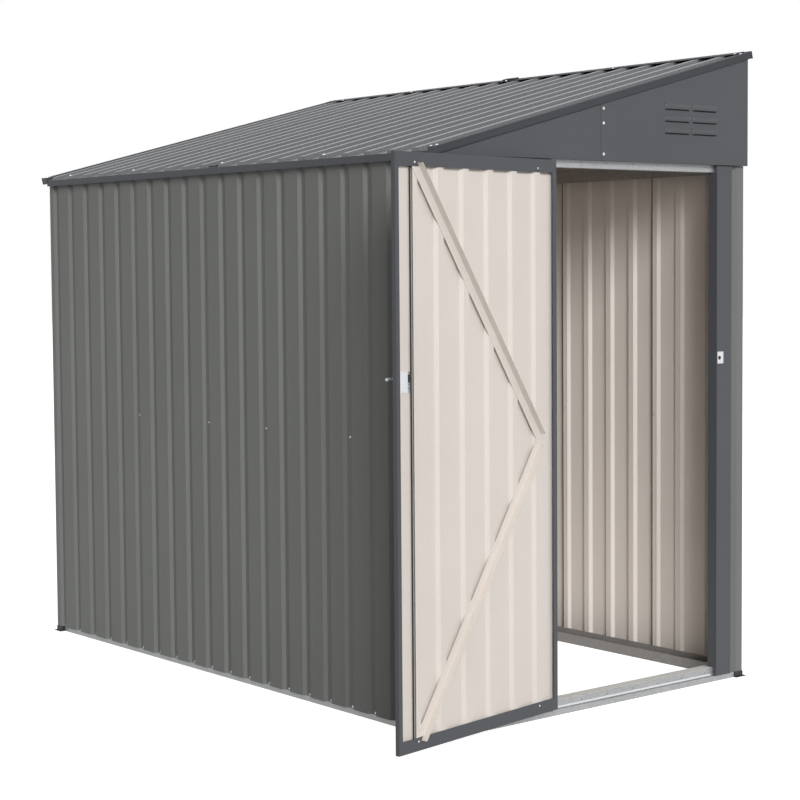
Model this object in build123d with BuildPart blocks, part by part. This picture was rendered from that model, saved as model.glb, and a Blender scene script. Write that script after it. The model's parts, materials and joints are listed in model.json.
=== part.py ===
from build123d import *
import os
from itertools import accumulate
from math import cos, floor, radians, sin, tan

# Lean-to storage shed of folded steel sheet, with one hinged door, in millimetres
# X runs across the front from the low eave to the high side, Y from the front to the back, Z up
# The origin is the middle of the footprint at ground level, and the door stands open

os.makedirs("parts", exist_ok=True)

# Walls, measured over the outer flats of the sheets
wall_width = 1306
wall_length = 2183
wall_bottom = 18
wall_top = 1660

# Ribbed sheet
sheet_t = 0.8
rib_pitch = 107.5
rib_floor = 22
rib_run = 9
rib_depth = 10
lap_gap = 0.1
lap_inset = 2
low_front_margin = 95.7
high_front_margin = 54.2
front_corner_margin = 49
side_lap_counts = (3, 4, 3, 4)
back_lap_count = 2

# Base and top rails
rail_t = 1.2
base_rail_width = 40
base_rail_outer = 44
base_rail_inner = 34
top_rail_width = 30
top_rail_lap = 22
sill_toe = 2
sill_step = 17.5

# Corner feet
foot_leg = 38
foot_proud = 2
foot_lift = 0.3
foot_flange = 7
foot_flange_t = 2.5

# Door posts
post_width = 70
post_depth = 36
post_t = 1.2
post_proud = 4
lock_post_offset = 131
post_gap = 1

# Roof
roof_pitch = 14.4
wall_to_roof = 17
roof_lap_count = 5
rafter_width = 40
rafter_depth = 30
roof_gap = 0.3
beam_width = 36
beam_depth = 34

# Gables and upper panel
panel_t = 1
panel_proud = 12
panel_side_proud = 7
wall_to_panel = 1
gable_lap = 11
louvre_width = 109
louvre_gap = 18
louvre_height = 18
louvre_pitch = 37
louvre_proud = 7
louvre_t = 1
louvre_inset = 154
louvre_bottom_gap = 93
louvre_nose_share = 0.35
louvre_columns = 2
louvre_rows = 3

# Roof trims
trim_t = 1
fascia = 21
eave_proud = 17
ridge_proud = 16
eave_flange = 16
ridge_flange = 45
verge_cap = 30
verge_height = 10
verge_proud = 6
verge_overhang = 19
trim_joint = 1.5
sheet_end_gap = 4

# Door leaf, with its own x from the hinge pin, y inwards and z up
door_open = 170.8
door_bottom = 28
door_head_gap = 5
door_clear = 5
door_edge_gap = 10
leaf_width = 718
leaf_t = 1.2
lock_lip = 15
hinge_lip = 19
top_lip = 38
bottom_lip = 37
leaf_sheet_gap = 1
door_groove_margin = 81
door_rib_pitch = 109.5
pin_proud = 2
pin_gap = 4

# Door braces
brace_width = 25.5
brace_flange = 21
brace_t = 1.2
brace_inset = 85
brace_end_gap = 1
brace_overrun = 10.5
brace_apex_gap = 0.3
brace_flange_gap = 15

# Hinges
hinge_r = 4
pin_r = 2
pin_play = 0.08
knuckle = 15
knuckle_gap = 0.3
hinge_plate = 30
hinge_plate_t = 1.5
hinge_inset = 145

# Latch and keeper
latch_z = 1038
latch_plate_gap = 12
latch_plate_width = 42
latch_plate_height = 58
latch_plate_t = 1.2
latch_slot_width = 8
latch_slot_height = 22
latch_slot_inset = 3
latch_slot_offset = 10
latch_bar_height = 5
latch_bar_t = 4
latch_bar_bends = ((-40, 0), (-12, 1), (-5, -3), (7, 0), (17, -2))
latch_standoff = 4
latch_boss_r = 7
latch_tip_r = 4
keeper_inset = 2
keeper_width = 28
keeper_height = 38
keeper_t = 1.5
keeper_hole_r = 5.5
keeper_hole_share = 0.39

# Worked out from the sizes above
half_width = wall_width / 2
half_length = wall_length / 2
half_floor = rib_floor / 2
half_pitch = rib_pitch / 2
rib_half = half_floor + rib_run
lap = sheet_t + lap_gap
rail_face = rib_depth + sheet_t
slope = radians(roof_pitch)
top_rail_bottom = wall_top - top_rail_lap
roof_low_z = wall_top + wall_to_roof
panel_bottom = wall_top + wall_to_panel
door_top = panel_bottom - door_head_gap
front_y = -half_length
rail_x = half_width - rail_face
rail_y = half_length - rail_face
rail_inner_x = rail_x - base_rail_width
top_rail_inner_x = rail_x - top_rail_width
panel_x = half_width + panel_side_proud
panel_y = half_length + panel_proud
eave_x = -half_width - eave_proud
ridge_x = half_width + ridge_proud
verge_y = panel_y + verge_proud
roof_y = verge_y - trim_t - roof_gap
trim_y = verge_y - verge_cap - roof_gap
ridge_height = rib_depth + lap + sheet_t + lap_gap + trim_t
leaf_depth = 2 * leaf_t + rib_depth + sheet_t
leaf_outer = pin_proud
leaf_inner = pin_proud + leaf_depth
leaf_start = pin_gap
leaf_end = pin_gap + leaf_width
lock_post_x = half_width - lock_post_offset
hinge_x = lock_post_x - door_edge_gap - leaf_end
hinge_y = front_y + rail_face - door_clear - leaf_inner
hinge_post_x = hinge_x + leaf_start - door_clear - post_width
hinge_height = 3 * knuckle + 2 * knuckle_gap
post_y = front_y - post_proud


def fold(points, thickness):
    """Closed outline of sheet metal folded along points, with its thickness on their left."""
    outer = [Vector(*point) for point in points]
    lefts = [(b - a).normalized().rotate(Axis.Z, 90) for a, b in zip(outer, outer[1:])]
    sides = zip(lefts[:1] + lefts, lefts + lefts[-1:])
    inner = [p + (a + b) * (thickness / (1 + a.dot(b))) for p, (a, b) in zip(outer, sides)]
    with BuildLine() as outline:
        Polyline(*outer, *reversed(inner), close=True)
    return outline.edges()


def roof_z(x):
    """Height of the underside of the roof's pans."""
    return roof_low_z + (x + half_width) * tan(slope)


top_rail_top = roof_z(-rail_x)


def save(piece, name):
    """Labels a finished piece and writes it."""
    piece.part.label = name
    export_step(piece.part, f"parts/{name}.step")


def mirrored(piece, plane):
    """The same piece on the other side of a plane."""
    with BuildPart() as twin:
        mirror(piece.part, about=plane)
    return twin


# Ribbed outlines, as points along the sheet and out from its flats

def rib(centre, rise):
    """One rib, or one groove where rise is negative."""
    return [
        (centre - rib_half, 0),
        (centre - half_floor, rise),
        (centre + half_floor, rise),
        (centre + rib_half, 0),
    ]


def ribs(centres, rise):
    """All ribs at the given centres."""
    return [point for centre in centres for point in rib(centre, rise)]


def lip_start(centre, rise):
    """Lip where a sheet starts, on half of the rib that it shares."""
    return [
        (centre - half_floor + lap_inset, rise),
        (centre + half_floor, rise),
        (centre + rib_half, 0),
    ]


def lip_end(centre, rise):
    """Lip where a sheet ends, on half of the rib that it shares."""
    return [
        (centre - rib_half, 0),
        (centre - half_floor, rise),
        (centre + half_floor - lap_inset, rise),
    ]


def clip(points, low, high):
    """The stretch of an outline between two places along it."""
    kept = []
    for (s0, v0), (s1, v1) in zip(points, points[1:]):
        if s1 <= low or s0 >= high:
            continue
        a = max(s0, low)
        b = min(s1, high)
        if not kept:
            kept.append((a, v0 + (v1 - v0) * (a - s0) / (s1 - s0)))
        kept.append((b, v0 + (v1 - v0) * (b - s0) / (s1 - s0)))
    return kept


# Each wall runs counter-clockwise seen from above, so the inside is always on the left

def on_front(points):
    return [(s, front_y - v) for s, v in points]


def on_high(points):
    return [(half_width + v, s) for s, v in points]


def on_back(points):
    return [(-s, half_length + v) for s, v in points]


def on_low(points):
    return [(-half_width - v, -s) for s, v in points]


def side_grooves(margin):
    """Places of the grooves along a side wall, behind its front margin."""
    count = floor((wall_length - margin - rib_half) / rib_pitch) + 1
    return [front_y + margin + rib_pitch * k for k in range(count)]


high_grooves = side_grooves(high_front_margin)
low_grooves = [-y for y in reversed(side_grooves(low_front_margin))]
back_half = floor((half_width - rib_half - half_pitch) / rib_pitch) + 1
back_grooves = [half_pitch + rib_pitch * k for k in range(-back_half, back_half)]
front_count = floor((wall_width - front_corner_margin - rib_half) / rib_pitch) + 1
front_grooves = [-half_width + front_corner_margin + rib_pitch * k for k in range(front_count)]
front_left = [(-half_width, 0)] + ribs(front_grooves, -rib_depth) + [(half_width, 0)]
front_right = [(-s, v) for s, v in reversed(front_left)]

high_laps = list(accumulate(side_lap_counts))
low_laps = [len(low_grooves) - 1 - k for k in reversed(high_laps)]
back_laps = [back_half - 1 - back_lap_count, back_half + back_lap_count]


def wall_start(grooves, first):
    """Outline of a wall sheet from its first lip on."""
    return lip_start(grooves[first], -rib_depth) + ribs(grooves[first + 1 :], -rib_depth)


def wall_end(grooves, last):
    """Outline of a wall sheet up to its last lip."""
    return ribs(grooves[:last], -rib_depth) + lip_end(grooves[last], lap - rib_depth)


def wall_run(grooves, first, last):
    """Outline of a flat wall sheet between two laps."""
    return (
        lip_start(grooves[first], -rib_depth)
        + ribs(grooves[first + 1 : last], -rib_depth)
        + lip_end(grooves[last], lap - rib_depth)
    )


def wall_sheets(paths):
    """Ribbed sheets standing along the given outlines."""
    with BuildPart() as sheets:
        with BuildSketch(Plane.XY.offset(wall_bottom)):
            for path in paths:
                make_face(fold(path, sheet_t))
        extrude(amount=wall_top - wall_bottom)
    return sheets


# Flat wall sheets
low_runs = [wall_run(low_grooves, a, b) for a, b in zip(low_laps, low_laps[1:])]
low_wall_sheets = wall_sheets([on_low(run) for run in low_runs])
save(low_wall_sheets, "low_wall_sheets")

high_runs = [wall_run(high_grooves, a, b) for a, b in zip(high_laps, high_laps[1:])]
high_wall_sheets = wall_sheets([on_high(run) for run in high_runs])
save(high_wall_sheets, "high_wall_sheets")

back_wall_sheet = wall_sheets([on_back(wall_run(back_grooves, *back_laps))])
save(back_wall_sheet, "back_wall_sheet")

# Corner sheets, each folded round one corner of the shed
side_end = [(half_length, 0)]
back_end = [(half_width, 0)]
hinge_side = clip(front_left, -half_width, hinge_post_x - post_gap)
lock_side = clip(front_right, lock_post_x + post_width + post_gap, half_width)

corner_sheet_front_low = wall_sheets(
    [on_low(wall_start(low_grooves, low_laps[-1])) + on_front(hinge_side)]
)
save(corner_sheet_front_low, "corner_sheet_front_low")

corner_sheet_front_high = wall_sheets(
    [on_front(lock_side) + on_high(wall_end(high_grooves, high_laps[0]))]
)
save(corner_sheet_front_high, "corner_sheet_front_high")

corner_sheet_back_high = wall_sheets(
    [
        on_high(wall_start(high_grooves, high_laps[-1]) + side_end)
        + on_back(wall_end(back_grooves, back_laps[0]))
    ]
)
save(corner_sheet_back_high, "corner_sheet_back_high")

corner_sheet_back_low = wall_sheets(
    [
        on_back(wall_start(back_grooves, back_laps[-1]) + back_end)
        + on_low(wall_end(low_grooves, low_laps[0]))
    ]
)
save(corner_sheet_back_low, "corner_sheet_back_low")

# Base rails, open upwards, behind the grooves of the sheets
with BuildPart() as base_rail_low:
    with BuildSketch(Plane.XZ.offset(rail_y)):
        make_face(
            fold(
                [
                    (-rail_x, base_rail_outer),
                    (-rail_x, 0),
                    (-rail_inner_x, 0),
                    (-rail_inner_x, base_rail_inner),
                ],
                rail_t,
            )
        )
    extrude(amount=-2 * rail_y)
save(base_rail_low, "base_rail_low")

base_rail_high = mirrored(base_rail_low, Plane.YZ)
save(base_rail_high, "base_rail_high")

with BuildPart() as base_rail_back:
    with BuildSketch(Plane.YZ.offset(-rail_inner_x)):
        make_face(
            fold(
                [
                    (rail_y - base_rail_width, base_rail_inner),
                    (rail_y - base_rail_width, 0),
                    (rail_y, 0),
                    (rail_y, base_rail_outer),
                ],
                rail_t,
            )
        )
    extrude(amount=2 * rail_inner_x)
save(base_rail_back, "base_rail_back")

# Front sill, with a low step in front of its raised threshold
foot_x = half_width + foot_proud
foot_y = half_length + foot_proud
toe_x = foot_x - foot_leg - foot_lift
with BuildPart() as front_sill:
    with BuildSketch(Plane.YZ.offset(-rail_inner_x)):
        make_face(
            fold(
                [
                    (front_y + sill_toe, 0),
                    (front_y + sill_toe, sill_step),
                    (-rail_y, sill_step),
                    (-rail_y, base_rail_outer),
                    (base_rail_width - rail_y, base_rail_outer),
                    (base_rail_width - rail_y, 0),
                ],
                -rail_t,
            )
        )
    extrude(amount=2 * rail_inner_x)
    with BuildSketch(Plane.YZ.offset(-toe_x)):
        make_face(
            fold(
                [
                    (front_y + sill_toe, 0),
                    (front_y + sill_toe, sill_step),
                    (-rail_y, sill_step),
                ],
                -rail_t,
            )
        )
    extrude(amount=2 * toe_x)
save(front_sill, "front_sill")

# Corner feet, wrapped round the ends of the base rails
with BuildPart() as corner_feet:
    for sx in (-1, 1):
        for sy in (-1, 1):
            for reach, height in ((0, wall_bottom - foot_lift), (foot_flange, foot_flange_t)):
                with BuildSketch():
                    with BuildLine():
                        Polyline(
                            (sx * (foot_x + reach), sy * (foot_y + reach)),
                            (sx * (foot_x - foot_leg), sy * (foot_y + reach)),
                            (sx * (foot_x - foot_leg), sy * rail_y),
                            (sx * rail_x, sy * rail_y),
                            (sx * rail_x, sy * (foot_y - foot_leg)),
                            (sx * (foot_x + reach), sy * (foot_y - foot_leg)),
                            close=True,
                        )
                    make_face()
                extrude(amount=height)
save(corner_feet, "corner_feet")

# Top rails, open downwards
with BuildPart() as top_rail_low:
    with BuildSketch(Plane.XZ.offset(rail_y)):
        make_face(
            fold(
                [
                    (-rail_x, top_rail_bottom),
                    (-rail_x, top_rail_top),
                    (-top_rail_inner_x, top_rail_top),
                    (-top_rail_inner_x, top_rail_bottom),
                ],
                -rail_t,
            )
        )
    extrude(amount=-2 * rail_y)
save(top_rail_low, "top_rail_low")

top_rail_high = mirrored(top_rail_low, Plane.YZ)
save(top_rail_high, "top_rail_high")

with BuildPart() as front_header:
    with BuildSketch(Plane.YZ.offset(-top_rail_inner_x)):
        make_face(
            fold(
                [
                    (-rail_y, top_rail_bottom),
                    (-rail_y, top_rail_top),
                    (top_rail_width - rail_y, top_rail_top),
                    (top_rail_width - rail_y, top_rail_bottom),
                ],
                -rail_t,
            )
        )
    extrude(amount=2 * top_rail_inner_x)
save(front_header, "front_header")

top_rail_back = mirrored(front_header, Plane.XZ)
save(top_rail_back, "top_rail_back")


# Door posts, notched at both ends to lap over the sill and the header
def door_post(x):
    spans = (
        (base_rail_outer, top_rail_bottom, post_depth),
        (wall_bottom, wall_top, post_proud + rail_face - roof_gap),
    )
    with BuildPart() as post:
        for low, high, depth in spans:
            with BuildSketch(Plane.XY.offset(low)):
                make_face(
                    fold(
                        [
                            (x, post_y + depth),
                            (x, post_y),
                            (x + post_width, post_y),
                            (x + post_width, post_y + depth),
                        ],
                        post_t,
                    )
                )
            extrude(amount=high - low)
    return post


hinge_post = door_post(hinge_post_x)
save(hinge_post, "hinge_post")

lock_post = door_post(lock_post_x)
save(lock_post, "lock_post")

# Roof sheets, lapped on every fifth rib, with the ribs closed at the eave
roof_end_x = ridge_x - trim_t - sheet_end_gap
roof_half = floor((trim_y - rib_half - half_pitch) / rib_pitch) + 1
roof_ribs = [half_pitch + rib_pitch * k for k in range(-roof_half, roof_half)]
roof_laps = roof_ribs[roof_lap_count::roof_lap_count]


def roof_plane(x):
    """Plane across the roof's slope, with its own y along the roof's upward normal."""
    return Plane(origin=(x, 0, roof_z(x)), x_dir=(0, 1, 0), z_dir=(cos(slope), 0, sin(slope)))


def between(centres, low, high):
    return [c for c in centres if low < c < high]


with BuildPart() as roof_sheets:
    with BuildSketch(roof_plane(eave_x)):
        for first, last in zip([None] + roof_laps, roof_laps + [None]):
            low = -roof_y if first is None else first
            high = roof_y if last is None else last
            path = (
                ([(low, 0)] if first is None else lip_start(first, rib_depth))
                + ribs(between(roof_ribs, low, high), rib_depth)
                + ([(high, 0)] if last is None else lip_end(last, rib_depth + lap))
            )
            make_face(fold(path, sheet_t))
    extrude(amount=(roof_end_x - eave_x) / cos(slope))
    with BuildSketch(roof_plane(eave_x)):
        for centre in roof_ribs:
            end = rib(centre, rib_depth)
            if centre in roof_laps:
                end = lip_start(centre, rib_depth) + [(centre - rib_half + lap_inset, 0)]
            with BuildLine():
                Polyline(*end, close=True)
            make_face()
    extrude(amount=sheet_t)
save(roof_sheets, "roof_sheets")

# Rafter under the middle of the roof
rafter_drop = rafter_depth * sin(slope)
beam_x = panel_x - panel_t - beam_width
with BuildPart() as rafter:
    with BuildSketch(roof_plane(-top_rail_inner_x)):
        make_face(
            fold(
                [
                    (-rafter_width / 2, -rafter_depth),
                    (-rafter_width / 2, -roof_gap),
                    (rafter_width / 2, -roof_gap),
                    (rafter_width / 2, -rafter_depth),
                ],
                -rail_t,
            )
        )
    extrude(amount=(beam_x - rafter_drop - sheet_end_gap + top_rail_inner_x) / cos(slope))
save(rafter, "rafter")

# Beam along the high edge, with its top on the roof's slope
with BuildPart() as high_beam:
    with BuildSketch(Plane.XZ.offset(panel_y - panel_t - roof_gap)):
        make_face(
            fold(
                [
                    (beam_x, roof_z(beam_x) - beam_depth),
                    (beam_x, roof_z(beam_x) - roof_gap),
                    (beam_x + beam_width, roof_z(beam_x + beam_width) - roof_gap),
                    (beam_x + beam_width, roof_z(beam_x) - beam_depth),
                ],
                -rail_t,
            )
        )
    extrude(amount=-2 * (panel_y - panel_t - roof_gap))
save(high_beam, "high_beam")

# Upper panel on the high side, between the wall and the roof
with BuildPart() as upper_panel:
    with BuildSketch(Plane.XZ.offset(panel_y - panel_t - roof_gap)):
        make_face(
            fold(
                [
                    (panel_x, roof_z(panel_x - panel_t) - roof_gap),
                    (panel_x, panel_bottom),
                    (rail_x, panel_bottom),
                ],
                -panel_t,
            )
        )
    extrude(amount=-2 * (panel_y - panel_t - roof_gap))
save(upper_panel, "upper_panel")


# Gables, in two halves lapped at the middle, with a flange back to the header
def gable(low, high, flange_low, flange_high, set_back):
    with BuildPart() as half:
        with BuildSketch(Plane.XZ.offset(panel_y - set_back)):
            with BuildLine():
                Polyline(
                    (low, panel_bottom),
                    (high, panel_bottom),
                    (high, roof_z(high) - roof_gap),
                    (low, roof_z(low) - roof_gap),
                    close=True,
                )
            make_face()
        extrude(amount=-panel_t)
        with BuildSketch(Plane.XY.offset(panel_bottom)):
            with Locations((flange_low, set_back - panel_y)):
                Rectangle(
                    flange_high - flange_low,
                    panel_y - set_back - rail_y,
                    align=(Align.MIN, Align.MIN),
                )
        extrude(amount=panel_t)
    return half


front_gable_low = gable(-panel_x, gable_lap, -rail_x, gable_lap, panel_t + lap_gap)
save(front_gable_low, "front_gable_low")

back_gable_low = mirrored(front_gable_low, Plane.XZ)
save(back_gable_low, "back_gable_low")

# Louvres pressed into the high half of each gable, open at the bottom
louvre_y = -panel_y
louvre_nose = louvre_height * louvre_nose_share
hood = [
    (louvre_y + panel_t, 0),
    (louvre_y + panel_t, louvre_height),
    (louvre_y, louvre_height),
    (louvre_y - louvre_proud, louvre_nose),
    (louvre_y - louvre_proud, 0),
]
hollow = [
    (louvre_y, 0),
    (louvre_y, louvre_t),
    (louvre_y + panel_t, louvre_t),
    (louvre_y + panel_t, louvre_height - 2 * louvre_t),
    (louvre_y, louvre_height - 2 * louvre_t),
    (louvre_y - louvre_proud + louvre_t, louvre_nose - louvre_t),
    (louvre_y - louvre_proud + louvre_t, 0),
]
plain_gable = gable(-gable_lap, panel_x, gable_lap + roof_gap, rail_x, 0)
with BuildPart() as front_gable_high:
    add(plain_gable.part)
    for column in range(louvre_columns):
        right = panel_x - louvre_inset - column * (louvre_width + louvre_gap)
        for row in range(louvre_rows):
            z = panel_bottom + louvre_bottom_gap + row * louvre_pitch
            with BuildSketch(Plane.YZ.offset(right - louvre_width)):
                with BuildLine():
                    Polyline(*[(y, z + h) for y, h in hood], close=True)
                make_face()
            extrude(amount=louvre_width)
            with BuildSketch(Plane.YZ.offset(right - louvre_width + louvre_t)):
                with BuildLine():
                    Polyline(*[(y, z + h) for y, h in hollow], close=True)
                make_face()
            extrude(amount=louvre_width - 2 * louvre_t, mode=Mode.SUBTRACT)
save(front_gable_high, "front_gable_high")

back_gable_high = mirrored(front_gable_high, Plane.XZ)
save(back_gable_high, "back_gable_high")

# Verge trims, capping the edges of the roof down the slope
verge_start_x = -half_width - verge_overhang
verge_end_x = half_width + verge_overhang
with BuildPart() as verge_trim_front:
    with BuildSketch(roof_plane(verge_start_x)):
        make_face(
            fold(
                [
                    (-verge_y, verge_height - fascia),
                    (-verge_y, verge_height),
                    (verge_cap - verge_y, verge_height),
                    (verge_cap - verge_y, lap),
                ],
                -trim_t,
            )
        )
    extrude(amount=(verge_end_x - verge_start_x) / cos(slope))
save(verge_trim_front, "verge_trim_front")

verge_trim_back = mirrored(verge_trim_front, Plane.XZ)
save(verge_trim_back, "verge_trim_back")

# Eave trims under the sheets and ridge trims over the ribs, in lengths that nearly meet
eave_z = roof_z(eave_x) - lap_gap / cos(slope)
with BuildPart() as eave_trim_front:
    with BuildSketch(Plane.XZ.offset(trim_y)):
        make_face(
            fold(
                [
                    (eave_x, eave_z - fascia),
                    (eave_x, eave_z),
                    (eave_x + eave_flange * cos(slope), eave_z + eave_flange * sin(slope)),
                ],
                -trim_t,
            )
        )
    extrude(amount=trim_joint / 2 - trim_y)
save(eave_trim_front, "eave_trim_front")

eave_trim_back = mirrored(eave_trim_front, Plane.XZ)
save(eave_trim_back, "eave_trim_back")

ridge_z = roof_z(ridge_x) + ridge_height / cos(slope)
with BuildPart() as ridge_trim_front:
    with BuildSketch(Plane.XZ.offset(trim_y)):
        make_face(
            fold(
                [
                    (ridge_x - ridge_flange * cos(slope), ridge_z - ridge_flange * sin(slope)),
                    (ridge_x, ridge_z),
                    (ridge_x, ridge_z - fascia),
                ],
                -trim_t,
            )
        )
    extrude(amount=trim_joint / 2 - trim_y)
save(ridge_trim_front, "ridge_trim_front")

ridge_trim_back = mirrored(ridge_trim_front, Plane.XZ)
save(ridge_trim_back, "ridge_trim_back")

# Door leaf, turned open about the hinge pin
turn = radians(door_open)
door_plane = Plane(origin=(hinge_x, hinge_y, 0), x_dir=(cos(turn), -sin(turn), 0), z_dir=(0, 0, 1))


def across_leaf(x):
    """Plane across the leaf, with its own x inwards and y up."""
    return Plane(
        origin=door_plane.from_local_coords((x, 0, 0)),
        x_dir=door_plane.y_dir,
        z_dir=door_plane.x_dir,
    )


def along_leaf(y):
    """Plane of the leaf at one depth, with its own x from the hinge and y up, facing out."""
    return Plane(
        origin=door_plane.from_local_coords((0, y, 0)),
        x_dir=door_plane.x_dir,
        z_dir=-door_plane.y_dir,
    )


# Edge channels: the stiles run full height and the rails fit between their lips
with BuildPart() as door_lock_stile:
    with BuildSketch(door_plane.offset(door_bottom)):
        make_face(
            fold(
                [
                    (leaf_end - lock_lip, leaf_outer),
                    (leaf_end, leaf_outer),
                    (leaf_end, leaf_inner),
                    (leaf_end - lock_lip, leaf_inner),
                ],
                leaf_t,
            )
        )
    extrude(amount=door_top - door_bottom)
save(door_lock_stile, "door_lock_stile")

with BuildPart() as door_hinge_stile:
    with BuildSketch(door_plane.offset(door_bottom)):
        make_face(
            fold(
                [
                    (leaf_start + hinge_lip, leaf_inner),
                    (leaf_start, leaf_inner),
                    (leaf_start, leaf_outer),
                    (leaf_start + hinge_lip, leaf_outer),
                ],
                leaf_t,
            )
        )
    extrude(amount=door_top - door_bottom)
save(door_hinge_stile, "door_hinge_stile")

rail_length = leaf_width - hinge_lip - lock_lip
with BuildPart() as door_top_rail:
    with BuildSketch(across_leaf(leaf_start + hinge_lip)):
        make_face(
            fold(
                [
                    (leaf_inner, door_top - top_lip),
                    (leaf_inner, door_top),
                    (leaf_outer, door_top),
                    (leaf_outer, door_top - top_lip),
                ],
                leaf_t,
            )
        )
    extrude(amount=rail_length)
save(door_top_rail, "door_top_rail")

with BuildPart() as door_bottom_rail:
    with BuildSketch(across_leaf(leaf_start + hinge_lip)):
        make_face(
            fold(
                [
                    (leaf_outer, door_bottom + bottom_lip),
                    (leaf_outer, door_bottom),
                    (leaf_inner, door_bottom),
                    (leaf_inner, door_bottom + bottom_lip),
                ],
                leaf_t,
            )
        )
    extrude(amount=rail_length)
save(door_bottom_rail, "door_bottom_rail")

# Ribbed sheets inside the edge channels
skin_y = leaf_outer + leaf_t
skin_start = leaf_start + leaf_t + leaf_sheet_gap
skin_end = leaf_end - leaf_t - leaf_sheet_gap
skin_bottom = door_bottom + leaf_t + leaf_sheet_gap
skin_height = door_top - door_bottom - 2 * (leaf_t + leaf_sheet_gap)
door_lap = leaf_end - door_groove_margin
door_count = floor((door_lap - skin_start - rib_half) / door_rib_pitch)
door_grooves = [door_lap - door_rib_pitch * k for k in range(door_count, 0, -1)]


def on_leaf(points):
    return [(s, skin_y - v) for s, v in points]


main_path = (
    [(skin_start, 0)] + ribs(door_grooves, -rib_depth) + lip_end(door_lap, -rib_depth)
)
with BuildPart() as door_sheet_main:
    with BuildSketch(door_plane.offset(skin_bottom)):
        make_face(fold(on_leaf(main_path), sheet_t))
    extrude(amount=skin_height)
save(door_sheet_main, "door_sheet_main")

plate_x = leaf_end - lock_lip - latch_plate_gap - latch_plate_width
slot_x = plate_x + latch_slot_inset + latch_slot_width / 2
slot_z = latch_z + latch_slot_offset
lock_path = [(door_lap - half_floor, 0), (skin_end, 0)]
with BuildPart() as door_sheet_lock:
    with BuildSketch(door_plane.offset(skin_bottom)):
        make_face(fold(on_leaf(lock_path), sheet_t))
    extrude(amount=skin_height)
    with BuildSketch(along_leaf(skin_y)):
        with Locations((slot_x, slot_z)):
            Rectangle(latch_slot_width, latch_slot_height)
    extrude(amount=-sheet_t, mode=Mode.SUBTRACT)
save(door_sheet_lock, "door_sheet_lock")


# Braces in an arrow shape: each has a plate on the ribs, between the rails, and a flange on the
# side of the hinges that runs on past the lip of its rail
brace_y = skin_y + rib_depth + lap
flange_y = brace_y + brace_flange
tongue_y = brace_y + brace_t + lap_gap


def brace(end_z, apex_z):
    run = Vector(leaf_start - leaf_end + 2 * brace_inset, apex_z - end_z)
    spread = run.length / abs(run.Y)
    left = leaf_end - brace_inset - brace_width * spread / 2
    up = -run.Y / abs(run.Y)
    stop_z = apex_z + up * brace_flange_gap
    tip_z = end_z + up * brace_overrun
    strips = (
        (brace_width, brace_y, brace_y + brace_t, end_z, apex_z),
        (brace_t, brace_y, flange_y, end_z, stop_z),
        (brace_t, tongue_y, flange_y, tip_z, stop_z),
    )
    with BuildPart() as angle:
        for width, near_y, far_y, first_z, last_z in strips:
            first_x = left + (first_z - end_z) * run.X / run.Y
            last_x = left + (last_z - end_z) * run.X / run.Y
            with BuildSketch(along_leaf(near_y)):
                with BuildLine():
                    Polyline(
                        (first_x, first_z),
                        (first_x + width * spread, first_z),
                        (last_x + width * spread, last_z),
                        (last_x, last_z),
                        close=True,
                    )
                make_face()
            extrude(amount=near_y - far_y)
    return angle


brace_middle_z = (door_top + door_bottom) / 2
brace_top_z = door_top - top_lip - brace_end_gap
door_brace_upper = brace(brace_top_z, brace_middle_z + brace_apex_gap)
save(door_brace_upper, "door_brace_upper")

brace_bottom_z = door_bottom + bottom_lip + brace_end_gap
door_brace_lower = brace(brace_bottom_z, brace_middle_z - brace_apex_gap)
save(door_brace_lower, "door_brace_lower")

# Hinges: the door's knuckle turns on a pin fixed between two knuckles of the post
hinge_centres = (door_top - hinge_inset, door_bottom + hinge_inset)
with BuildPart() as door_hinges:
    for z in hinge_centres:
        with BuildSketch(door_plane.offset(z - knuckle / 2)):
            Circle(hinge_r)
            with Locations((0, leaf_outer)):
                Rectangle(hinge_plate, hinge_plate_t, align=(Align.MIN, Align.MAX))
            Circle(pin_r + pin_play, mode=Mode.SUBTRACT)
        extrude(amount=knuckle)
        with BuildSketch(door_plane.offset(z - hinge_height / 2)):
            with Locations((hinge_r + hinge_plate_t, leaf_outer)):
                Rectangle(
                    hinge_plate - hinge_r - hinge_plate_t,
                    hinge_plate_t,
                    align=(Align.MIN, Align.MAX),
                )
        extrude(amount=hinge_height)
save(door_hinges, "door_hinges")

post_plane = Plane(origin=(hinge_x, hinge_y, 0))
post_face = post_y - hinge_y
with BuildPart() as post_hinges:
    for z in hinge_centres:
        with BuildSketch(post_plane.offset(z - hinge_height / 2)):
            Circle(pin_r)
        extrude(amount=hinge_height)
        for low in (z - hinge_height / 2, z + hinge_height / 2 - knuckle):
            with BuildSketch(post_plane.offset(low)):
                Circle(hinge_r)
                with Locations((-hinge_r, 0)):
                    Rectangle(hinge_plate_t, post_face, align=(Align.MIN, Align.MIN))
            extrude(amount=knuckle)
        with BuildSketch(post_plane.offset(z - hinge_height / 2)):
            with Locations((hinge_plate_t - hinge_r, post_face)):
                Rectangle(hinge_plate, hinge_plate_t, align=(Align.MAX, Align.MAX))
        extrude(amount=hinge_height)
save(post_hinges, "post_hinges")

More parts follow.
